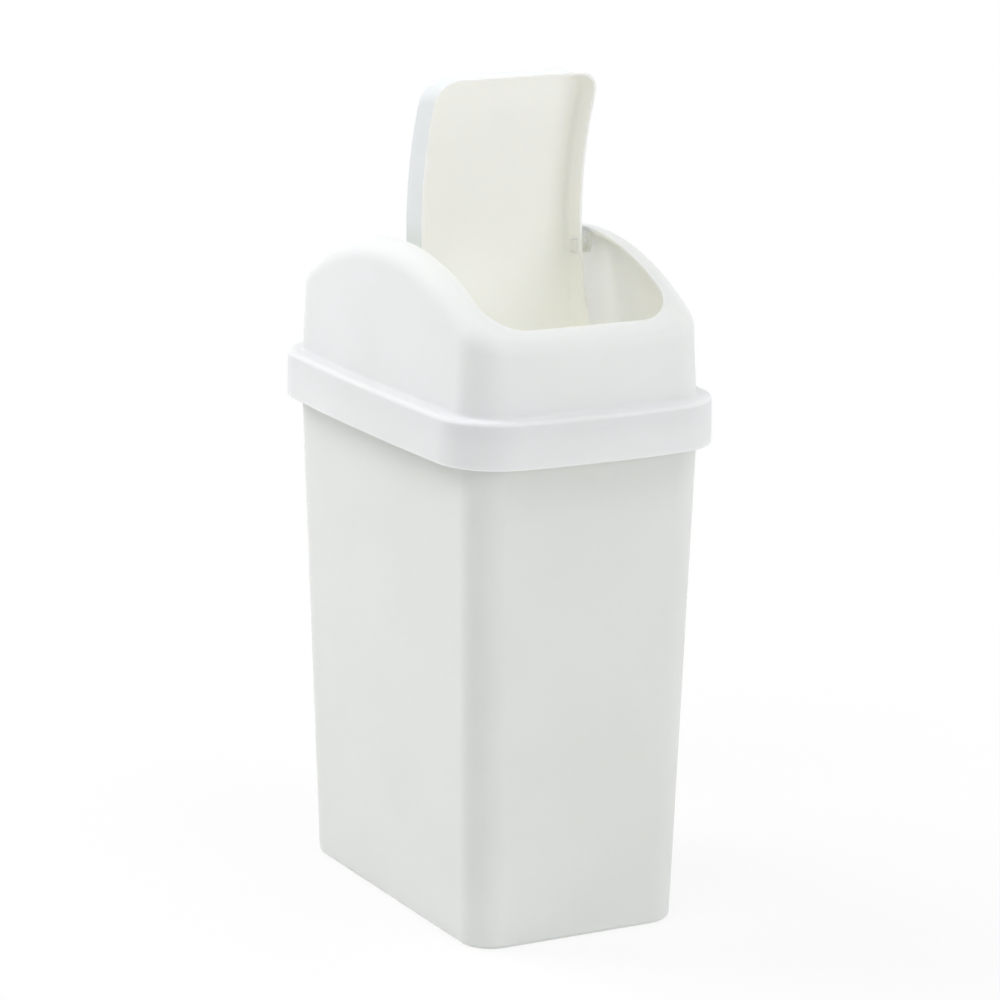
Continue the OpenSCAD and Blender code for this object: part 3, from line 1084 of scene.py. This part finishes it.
@dataclass
class Flap:
    """The swing flap: an arched tray with springy tongues in its side walls, which carry the pins."""

    lid: Lid
    gap_side: float = 4.0
    gap_end: float = 3.7
    corner_r: float = 13.6
    edge_r: float = 3.0
    inner_edge_r: float = 3.2
    depth: float = 17.5
    wall: float = 1.7
    lip_r: float = 0.5
    draft: float = 4.5
    swing: float = 95.6
    pin_r: float = 2.25
    pin_tip: float = 0.8
    pin_chamfer: float = 0.5625
    side_gap: float = 0.5
    slot_w: float = 1.0
    slot_arc_steps: int = 12
    tongue_half: float = 2.9
    tongue_below: float = 4.3
    tongue_above: float = 3.4
    arc_steps: int = 5
    stations: Stations = field(default_factory=lambda: Stations.spaced(16, 60, 1))

    def __post_init__(self) -> None:
        """Works out the form and the places along X that follow from the sizes."""
        opening = self.lid.opening
        half_width = opening.half_width - self.gap_side
        self.form = Form(half_width, opening.half_depth - self.gap_end, self.corner_r)
        self.edge = ArchEdge(self.lid.arch, self.edge_r, -math.tan(math.radians(self.draft)))
        inner_arch = replace(self.lid.arch, radius=self.lid.arch.radius - self.wall)
        self.inner_edge = replace(self.edge, arch=inner_arch, radius=self.inner_edge_r)
        self.bearing_x = half_width + self.side_gap
        drawn_in = math.tan(math.radians(self.draft)) * self.lid.pivot_drop
        self.wall_x = half_width - drawn_in - self.wall / 2
        self.pin_end_x = opening.half_width + self.lid.ear_t + self.pin_tip

    def build_tray(self) -> Object:
        """Builds the tray as it lies when the flap is closed.

        Returns:
            The tray.
        """
        at, arch, r = self.stations, self.lid.arch, self.lip_r
        foot = self.depth * math.tan(math.radians(self.draft))
        hollow = self.form.grown(-self.wall)
        rings = self.inner_edge.rings(at, hollow, self.inner_edge_r, 2 * self.arc_steps)[::-1]
        for inset, start, end in ((foot + self.wall - r, 180, 270), (foot + r, 270, 360)):
            for across, up in arc((inset, r - self.depth), r, start, end, self.arc_steps):
                rings.append(arch.ring(at, self.form, across, arch.radius, -up))
        rings += self.edge.rings(at, self.form, self.edge_r, 2 * self.arc_steps)
        return loft("swing_flap_tray", rings, start=Cap.ARCHED, end=Cap.ARCHED)

    def slot_cutter(self, side: int) -> Object:
        """Builds the solid of the U-shaped slot that frees a tongue.

        Args:
            side: 1 at the right, -1 at the left.

        Returns:
            The solid.
        """
        inner, outer = self.tongue_half, self.tongue_half + self.slot_w
        foot, low, high = -self.tongue_below, -self.tongue_below - self.slot_w, self.tongue_above
        middle = (inner + outer) / 2
        r, n = self.slot_w / 2, self.slot_arc_steps
        right, left = (arc((y, high), r, 180, 0, n) for y in (middle, -middle))
        outline = np.array([(outer, low), *right, (inner, foot), (-inner, foot), *left, (-outer, low)])
        outline[:, 1] += self.lid.pivot_z
        return slab(f"slot_{side}", [(self.wall_x + t, outline) for t in (-self.wall, self.wall)], side)

    def build_pin(self, side: int) -> Object:
        """Builds one pin, with a chamfer on its tip that lets it snap into its bearing.

        Args:
            side: 1 at the right, -1 at the left.

        Returns:
            The pin.
        """
        r, end, c = self.pin_r, self.pin_end_x, self.pin_chamfer
        profile = [(r, self.wall_x), (r, end - c), (r - c, end)]
        return revolve_x(f"flap_pin_{SIDES[side]}", profile, self.lid.pivot_z, side)

    def swing_open(self, piece: Object) -> None:
        """Turns a piece about the pins' axis from closed to open, front end up.

        Args:
            piece: The piece to turn.
        """
        pivot = Matrix.Translation((0, 0, self.lid.pivot_z * MM))
        turn = Matrix.Rotation(math.radians(-self.swing), 4, "X")
        piece.data.transform(pivot @ turn @ pivot.inverted())

    def build(self, finish: Material) -> list[Object]:
        """Builds and dresses the flap's pieces.

        Args:
            finish: The material of all of them.

        Returns:
            The pieces.
        """
        tray = self.build_tray()
        for side in SIDES:
            combine(tray, self.slot_cutter(side), "DIFFERENCE")
        dress(tray, finish, Vector((0, 0, self.lid.arch.centre_z * MM)))
        pieces = [tray, *(dress(self.build_pin(side), finish) for side in SIDES)]
        for piece in pieces:
            self.swing_open(piece)
        return pieces


# The studio


@dataclass(frozen=True)
class SoftBox:
    """A square lamp that looks at the can.

    Attributes:
        name: Its name.
        azimuth: Its direction round the can, in degrees: 0 is in front, 90 at the left.
        elevation: Its height above the horizon, in degrees.
        watts: Its power.
        size: Its edge, in metres.
        distance: Its distance from the middle of the can, in metres.
    """

    name: str
    azimuth: float
    elevation: float
    watts: float
    size: float = 1.2
    distance: float = 2.0

    def build(self, target: Vector) -> None:
        """Builds the lamp.

        Args:
            target: The point that it looks at.
        """
        lamp = bpy.data.lights.new(self.name, "AREA")
        lamp.energy = self.watts
        lamp.shape = "SQUARE"
        lamp.size = self.size
        made = bpy.data.objects.new(self.name, lamp)
        a, e = math.radians(self.azimuth), math.radians(self.elevation)
        away = Vector((-math.sin(a) * math.cos(e), -math.cos(a) * math.cos(e), math.sin(e)))
        made.location = target + away * self.distance
        made.rotation_euler = away.to_track_quat("Z", "Y").to_euler()
        bpy.context.scene.collection.objects.link(made)


@dataclass
class Studio:
    """A white floor and background, soft lamps, and the camera of the photograph.

    The camera's values come from a fit to the can's edges: its direction and distance from a point
    on the can's axis, and how far it stands aside and up from the line to that point.
    """

    yaw: float = 28.01
    pitch: float = 13.66
    roll: float = 0.53
    distance: float = 2218.9
    aside: float = 3.5
    above: float = 38.79
    look_at_z: float = 165.0
    focal_px: float = 4326.63
    frame_px: float = 1000.0
    sensor_mm: float = 36.0
    clip_m: tuple[float, float] = (0.1, 50.0)
    floor_half: float = 4.0
    floor_colour: str = "#f4f4f4"
    floor_white_share: float = 0.8
    floor_fade_m: tuple[float, float] = (0.15, 0.6)
    ambient: float = 0.25
    diffuse_bounces: int = 12
    lamps: tuple[SoftBox, ...] = (
        SoftBox("key, left and behind", 140, 45, 19.0),
        SoftBox("left and behind, low", 140, 15, 4.5),
        SoftBox("left, high", 60, 45, 8.4),
        SoftBox("front, low", -20, 15, 9.6),
        SoftBox("front, top", -20, 70, 8.0),
        SoftBox("front right, high", -60, 45, 4.0),
        SoftBox("right and behind, high", -140, 45, 5.0),
        SoftBox("right, low", -100, 15, 5.5),
    )

    def build_camera(self) -> None:
        """Builds the camera and makes it the scene's."""
        yaw, pitch, roll = (math.radians(v) for v in (-self.yaw, self.pitch, self.roll))
        back = Vector((math.sin(yaw) * math.cos(pitch), -math.cos(yaw) * math.cos(pitch), math.sin(pitch)))
        level = Vector((math.cos(yaw), math.sin(yaw), 0))
        upright = back.cross(level)
        right = level * math.cos(roll) + upright * math.sin(roll)
        up = upright * math.cos(roll) - level * math.sin(roll)
        eye = Vector((0, 0, self.look_at_z)) + back * self.distance + right * self.aside + up * self.above
        turn = Matrix((right, up, back)).transposed().to_4x4()
        lens = bpy.data.cameras.new("camera")
        lens.sensor_width = self.sensor_mm
        lens.lens = self.focal_px / self.frame_px * self.sensor_mm
        lens.clip_start, lens.clip_end = self.clip_m
        made = bpy.data.objects.new("camera", lens)
        made.matrix_world = Matrix.Translation(eye * MM) @ turn
        bpy.context.scene.collection.objects.link(made)
        bpy.context.scene.camera = made

    def build_world(self) -> None:
        """Lights the scene evenly, and shows white to the camera and in reflections."""
        world = bpy.data.worlds.new("white studio")
        add = empty_tree(world)
        path = add("ShaderNodeLightPath").node.outputs
        shown = path["Is Camera Ray"]
        for ray in ("Is Glossy Ray", "Is Transmission Ray"):
            shown = add("ShaderNodeMath", {0: shown, 1: path[ray]}, operation="MAXIMUM")
        strength = add("ShaderNodeMapRange", {"Value": shown, "To Min": self.ambient, "To Max": 1.0})
        sky = add("ShaderNodeBackground", {"Color": linear(WHITE), "Strength": strength})
        add("ShaderNodeOutputWorld", {"Surface": sky})
        bpy.context.scene.world = world

    def build_floor(self) -> None:
        """Builds the floor, pale and plain, which looks white but keeps the can's soft shadow."""
        half = self.floor_half / MM
        corners = np.array([(-half, -half, 0), (half, -half, 0), (half, half, 0), (-half, half, 0)])
        floor = make_mesh("studio_floor", corners, [(0, 1, 2, 3)])
        paper = bpy.data.materials.new("white paper")
        add = empty_tree(paper)
        lit = add("ShaderNodeBsdfDiffuse", {"Color": linear(self.floor_colour)})
        white = add("ShaderNodeEmission", {"Color": linear(WHITE), "Strength": 1.0})
        seen = add("ShaderNodeLightPath", output="Is Camera Ray")
        place = add("ShaderNodeTexCoord", output="Object")
        away = add("ShaderNodeVectorMath", {0: place}, "Value", operation="LENGTH")
        near, far = self.floor_fade_m
        white_share = add(
            "ShaderNodeMapRange",
            {"Value": away, "From Min": near, "From Max": far, "To Min": self.floor_white_share},
            interpolation_type="SMOOTHSTEP",
        )
        share = add("ShaderNodeMath", {0: seen, 1: white_share}, operation="MULTIPLY")
        mixed = add("ShaderNodeMixShader", {0: share, 1: lit, 2: white})
        add("ShaderNodeOutputMaterial", {"Surface": mixed})
        floor.data.materials.append(paper)

    def build(self) -> None:
        """Builds the whole studio."""
        self.build_camera()
        self.build_world()
        self.build_floor()
        for lamp in self.lamps:
            lamp.build(Vector((0, 0, self.look_at_z * MM)))
        bpy.context.scene.view_settings.view_transform = "Standard"
        # White walls pass light on many times over before it is lost, which is what lights the hollow
        bpy.context.scene.cycles.diffuse_bounces = self.diffuse_bounces


def hand_over(pieces: Sequence[Object], body: Body, node: str) -> None:
    """Lets pieces ride on a body and stand for a node.

    Args:
        pieces: The pieces, the first of which is the moulding's main one.
        body: The body that they ride on.
        node: The node that they replace.
    """
    for piece in pieces:
        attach(piece, body.value)
        LOG.info("%s rides on %s: %d faces", piece.name, body.value, len(piece.data.polygons))
    for piece in pieces:
        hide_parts(node)


def main() -> None:
    """Builds the can and its studio round the frame."""
    logging.basicConfig(level=logging.INFO, format="%(message)s")
    Studio().build()
    bucket = Bucket()
    lid = Lid(bucket)
    flap = Flap(lid)
    hand_over(bucket.build(BUCKET_FINISH.build()), Body.BUCKET, "bucket")
    hand_over(lid.build(LID_FINISH.build(), flap.bearing_x), Body.LID, "lid_hood")
    hand_over(flap.build(FLAP_FINISH.build()), Body.FLAP, "swing_flap")


if __name__ == "__main__":
    main()
